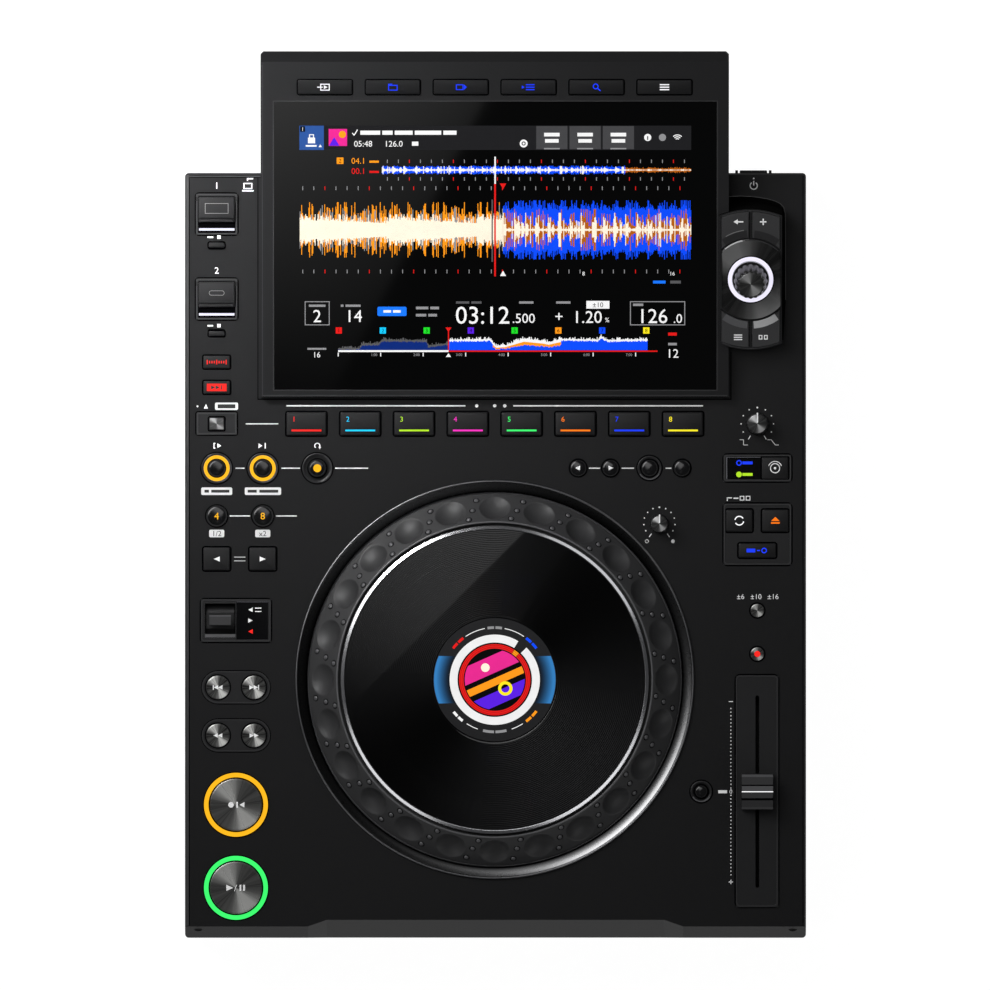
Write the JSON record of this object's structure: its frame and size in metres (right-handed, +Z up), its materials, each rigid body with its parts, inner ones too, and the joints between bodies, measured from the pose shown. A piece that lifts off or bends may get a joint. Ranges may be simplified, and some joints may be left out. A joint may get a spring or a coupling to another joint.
{
  "type": "tabletop dj player",
  "caption": "Tabletop DJ media player with a turning jog wheel, a tilted touch display, pressable keys and pads, a tempo slider, a push-and-turn selector and covered USB ports.",
  "frame": {"origin": "middle of the footprint, on the surface the feet stand on", "axes": "+X to the user's right, +Y away from the user, +Z up"},
  "size_m": [0.329, 0.4694, 0.118],
  "materials": {
    "deck": "fine-textured dark plastic",
    "housing": "satin dark plastic",
    "glass": "gloss dark-tinted glass",
    "screen": "lit colour display",
    "panel": "satin black",
    "socket": "moulded black with metal contacts",
    "rubber": "matt black rubber",
    "steel": "zinc-plated steel",
    "bezel": "polished dark trim",
    "dial": "satin dark-grey dial",
    "platter": "fine-turned black aluminium",
    "board": "green circuit board",
    "insert": "gloss black insert",
    "light": "translucent light guide",
    "key": "satin black key",
    "key_metal": "brushed metal key cap",
    "knob": "satin black knob"
  },
  "bodies": {
    "chassis": {"bottom_chassis": "housing", "top_cabinet": "deck", "display_housing": "housing", "display_glass": "glass", "lcd_panel": "screen", "rear_panel": "panel", "sockets": "socket", "rubber_feet": "rubber", "case_screws": "steel", "jog_bezel": "bezel", "jog_post": "steel", "jog_display": "screen", "circuit_boards": "board", "power_supply": "steel", "deck_inserts": "insert", "light_guides": "light", "tempo_fader": "insert"},
    "jog_wheel": {"jog_dial": "dial", "jog_platter": "platter"},
    "play_key": {"play_key": "key_metal"},
    "cue_key": {"cue_key": "key_metal"},
    "loop_in_key": {"loop_in_key": "key"},
    "loop_out_key": {"loop_out_key": "key"},
    "reloop_key": {"reloop_key": "key"},
    "beat_loop_keys": {"beat_loop_keys": "key"},
    "beat_jump_keys": {"beat_jump_keys": "key"},
    "quantize_key": {"quantize_key": "key"},
    "slip_key": {"slip_key": "key"},
    "cue_call_keys": {"cue_call_keys": "key"},
    "cue_memory_keys": {"cue_memory_keys": "key"},
    "tempo_range_key": {"tempo_range_key": "key"},
    "master_tempo_key": {"master_tempo_key": "key"},
    "tempo_reset_key": {"tempo_reset_key": "key"},
    "track_keys": {"track_keys": "key"},
    "search_keys": {"search_keys": "key"},
    "call_delete_key": {"call_delete_key": "key"},
    "jog_mode_key": {"jog_mode_key": "key"},
    "sync_keys": {"sync_keys": "key"},
    "key_sync_key": {"key_sync_key": "key"},
    "usb_stop_keys": {"usb_stop_keys": "key"},
    "hot_cue_1": {"hot_cue_1": "key"},
    "hot_cue_2": {"hot_cue_2": "key"},
    "hot_cue_3": {"hot_cue_3": "key"},
    "hot_cue_4": {"hot_cue_4": "key"},
    "hot_cue_5": {"hot_cue_5": "key"},
    "hot_cue_6": {"hot_cue_6": "key"},
    "hot_cue_7": {"hot_cue_7": "key"},
    "hot_cue_8": {"hot_cue_8": "key"},
    "menu_keys": {"menu_keys": "key"},
    "browse_keys_rear": {"browse_keys_rear": "key"},
    "browse_keys_front": {"browse_keys_front": "key"},
    "power_key": {"power_key": "key"},
    "selector_shaft": {"selector_shaft": "steel"},
    "selector_knob": {"selector_knob": "knob"},
    "jog_feel_knob": {"jog_feel_knob": "knob"},
    "vinyl_speed_knob": {"vinyl_speed_knob": "knob"},
    "direction_lever": {"direction_lever": "knob"},
    "tempo_slider": {"tempo_slider": "knob"},
    "usb_door_1": {"usb_door_1": "insert"},
    "usb_door_2": {"usb_door_2": "insert"}
  },
  "joints": [
    {"name": "jog_turn", "type": "hinge", "parent": "chassis", "child": "jog_wheel", "pos_m": [-0.0004, -0.0978, 0.0922], "axis": [0, 0, 1], "continuous": true},
    {"name": "play_key_press", "type": "slide", "parent": "chassis", "child": "play_key", "axis": [0, 0, -1], "range_m": [0, 0.0008], "stiffness_N_per_m": 400, "springref_m": -0.001},
    {"name": "cue_key_press", "type": "slide", "parent": "chassis", "child": "cue_key", "axis": [0, 0, -1], "range_m": [0, 0.0008], "stiffness_N_per_m": 400, "springref_m": -0.001},
    {"name": "loop_in_key_press", "type": "slide", "parent": "chassis", "child": "loop_in_key", "axis": [0, 0, -1], "range_m": [0, 0.0008], "stiffness_N_per_m": 400, "springref_m": -0.001},
    {"name": "loop_out_key_press", "type": "slide", "parent": "chassis", "child": "loop_out_key", "axis": [0, 0, -1], "range_m": [0, 0.0008], "stiffness_N_per_m": 400, "springref_m": -0.001},
    {"name": "reloop_key_press", "type": "slide", "parent": "chassis", "child": "reloop_key", "axis": [0, 0, -1], "range_m": [0, 0.0008], "stiffness_N_per_m": 400, "springref_m": -0.001},
    {"name": "beat_loop_keys_press", "type": "slide", "parent": "chassis", "child": "beat_loop_keys", "axis": [0, 0, -1], "range_m": [0, 0.0008], "stiffness_N_per_m": 400, "springref_m": -0.001},
    {"name": "beat_jump_keys_press", "type": "slide", "parent": "chassis", "child": "beat_jump_keys", "axis": [0, 0, -1], "range_m": [0, 0.0008], "stiffness_N_per_m": 400, "springref_m": -0.001},
    {"name": "quantize_key_press", "type": "slide", "parent": "chassis", "child": "quantize_key", "axis": [0, 0, -1], "range_m": [0, 0.0008], "stiffness_N_per_m": 400, "springref_m": -0.001},
    {"name": "slip_key_press", "type": "slide", "parent": "chassis", "child": "slip_key", "axis": [0, 0, -1], "range_m": [0, 0.0008], "stiffness_N_per_m": 400, "springref_m": -0.001},
    {"name": "cue_call_keys_press", "type": "slide", "parent": "chassis", "child": "cue_call_keys", "axis": [0, 0, -1], "range_m": [0, 0.0008], "stiffness_N_per_m": 400, "springref_m": -0.001},
    {"name": "cue_memory_keys_press", "type": "slide", "parent": "chassis", "child": "cue_memory_keys", "axis": [0, 0, -1], "range_m": [0, 0.0008], "stiffness_N_per_m": 400, "springref_m": -0.001},
    {"name": "tempo_range_key_press", "type": "slide", "parent": "chassis", "child": "tempo_range_key", "axis": [0, 0, -1], "range_m": [0, 0.0008], "stiffness_N_per_m": 400, "springref_m": -0.001},
    {"name": "master_tempo_key_press", "type": "slide", "parent": "chassis", "child": "master_tempo_key", "axis": [0, 0, -1], "range_m": [0, 0.0008], "stiffness_N_per_m": 400, "springref_m": -0.001},
    {"name": "tempo_reset_key_press", "type": "slide", "parent": "chassis", "child": "tempo_reset_key", "axis": [0, 0, -1], "range_m": [0, 0.0008], "stiffness_N_per_m": 400, "springref_m": -0.001},
    {"name": "track_keys_press", "type": "slide", "parent": "chassis", "child": "track_keys", "axis": [0, 0, -1], "range_m": [0, 0.0008], "stiffness_N_per_m": 400, "springref_m": -0.001},
    {"name": "search_keys_press", "type": "slide", "parent": "chassis", "child": "search_keys", "axis": [0, 0, -1], "range_m": [0, 0.0008], "stiffness_N_per_m": 400, "springref_m": -0.001},
    {"name": "call_delete_key_press", "type": "slide", "parent": "chassis", "child": "call_delete_key", "axis": [0, 0, -1], "range_m": [0, 0.0008], "stiffness_N_per_m": 400, "springref_m": -0.001},
    {"name": "jog_mode_key_press", "type": "slide", "parent": "chassis", "child": "jog_mode_key", "axis": [0, 0, -1], "range_m": [0, 0.0008], "stiffness_N_per_m": 400, "springref_m": -0.001},
    {"name": "sync_keys_press", "type": "slide", "parent": "chassis", "child": "sync_keys", "axis": [0, 0, -1], "range_m": [0, 0.0008], "stiffness_N_per_m": 400, "springref_m": -0.001},
    {"name": "key_sync_key_press", "type": "slide", "parent": "chassis", "child": "key_sync_key", "axis": [0, 0, -1], "range_m": [0, 0.0008], "stiffness_N_per_m": 400, "springref_m": -0.001},
    {"name": "usb_stop_keys_press", "type": "slide", "parent": "chassis", "child": "usb_stop_keys", "axis": [0, 0, -1], "range_m": [0, 0.0008], "stiffness_N_per_m": 400, "springref_m": -0.001},
    {"name": "hot_cue_1_press", "type": "slide", "parent": "chassis", "child": "hot_cue_1", "axis": [0, 0, -1], "range_m": [0, 0.0008], "stiffness_N_per_m": 400, "springref_m": -0.001},
    {"name": "hot_cue_2_press", "type": "slide", "parent": "chassis", "child": "hot_cue_2", "axis": [0, 0, -1], "range_m": [0, 0.0008], "stiffness_N_per_m": 400, "springref_m": -0.001},
    {"name": "hot_cue_3_press", "type": "slide", "parent": "chassis", "child": "hot_cue_3", "axis": [0, 0, -1], "range_m": [0, 0.0008], "stiffness_N_per_m": 400, "springref_m": -0.001},
    {"name": "hot_cue_4_press", "type": "slide", "parent": "chassis", "child": "hot_cue_4", "axis": [0, 0, -1], "range_m": [0, 0.0008], "stiffness_N_per_m": 400, "springref_m": -0.001},
    {"name": "hot_cue_5_press", "type": "slide", "parent": "chassis", "child": "hot_cue_5", "axis": [0, 0, -1], "range_m": [0, 0.0008], "stiffness_N_per_m": 400, "springref_m": -0.001},
    {"name": "hot_cue_6_press", "type": "slide", "parent": "chassis", "child": "hot_cue_6", "axis": [0, 0, -1], "range_m": [0, 0.0008], "stiffness_N_per_m": 400, "springref_m": -0.001},
    {"name": "hot_cue_7_press", "type": "slide", "parent": "chassis", "child": "hot_cue_7", "axis": [0, 0, -1], "range_m": [0, 0.0008], "stiffness_N_per_m": 400, "springref_m": -0.001},
    {"name": "hot_cue_8_press", "type": "slide", "parent": "chassis", "child": "hot_cue_8", "axis": [0, 0, -1], "range_m": [0, 0.0008], "stiffness_N_per_m": 400, "springref_m": -0.001},
    {"name": "menu_keys_press", "type": "slide", "parent": "chassis", "child": "menu_keys", "axis": [0, 0.1822, -0.9833], "range_m": [0, 0.0006], "stiffness_N_per_m": 400, "springref_m": -0.001},
    {"name": "browse_keys_rear_press", "type": "slide", "parent": "chassis", "child": "browse_keys_rear", "axis": [0, 0.1822, -0.9833], "range_m": [0, 0.0008], "stiffness_N_per_m": 400, "springref_m": -0.001},
    {"name": "browse_keys_front_press", "type": "slide", "parent": "chassis", "child": "browse_keys_front", "axis": [0, 0.1822, -0.9833], "range_m": [0, 0.0008], "stiffness_N_per_m": 400, "springref_m": -0.001},
    {"name": "power_key_press", "type": "slide", "parent": "chassis", "child": "power_key", "axis": [0, -1, 0], "range_m": [0, 0.0014], "stiffness_N_per_m": 400, "springref_m": -0.001},
    {"name": "selector_press", "type": "slide", "parent": "chassis", "child": "selector_shaft", "axis": [0, 0.1822, -0.9833], "range_m": [0, 0.0008], "stiffness_N_per_m": 400, "springref_m": -0.001},
    {"name": "selector_turn", "type": "hinge", "parent": "selector_shaft", "child": "selector_knob", "pos_m": [0.135, 0.114, 0.09871], "axis": [0, -0.1822, 0.9833], "continuous": true},
    {"name": "jog_feel_knob_turn", "type": "hinge", "parent": "chassis", "child": "jog_feel_knob", "pos_m": [0.0868, -0.0153, 0.085], "axis": [0, 0, 1], "range_deg": [-150, 150]},
    {"name": "vinyl_speed_knob_turn", "type": "hinge", "parent": "chassis", "child": "vinyl_speed_knob", "pos_m": [0.1387, 0.0377, 0.085], "axis": [0, 0, 1], "range_deg": [-150, 150]},
    {"name": "direction_tilt", "type": "hinge", "parent": "chassis", "child": "direction_lever", "pos_m": [-0.1459, -0.0665, 0.065], "axis": [1, 0, 0], "range_deg": [-12, 12]},
    {"name": "tempo_slide", "type": "slide", "parent": "chassis", "child": "tempo_slider", "axis": [0, 1, 0], "range_m": [-0.0475, 0.0475]},
    {"name": "usb_door_1_hinge", "type": "hinge", "parent": "chassis", "child": "usb_door_1", "pos_m": [-0.1477, 0.1568, 0.0812], "axis": [-1, 0, 0], "range_deg": [0, 90]},
    {"name": "usb_door_2_hinge", "type": "hinge", "parent": "chassis", "child": "usb_door_2", "pos_m": [-0.1477, 0.1119, 0.0812], "axis": [-1, 0, 0], "range_deg": [0, 90]}
  ]
}
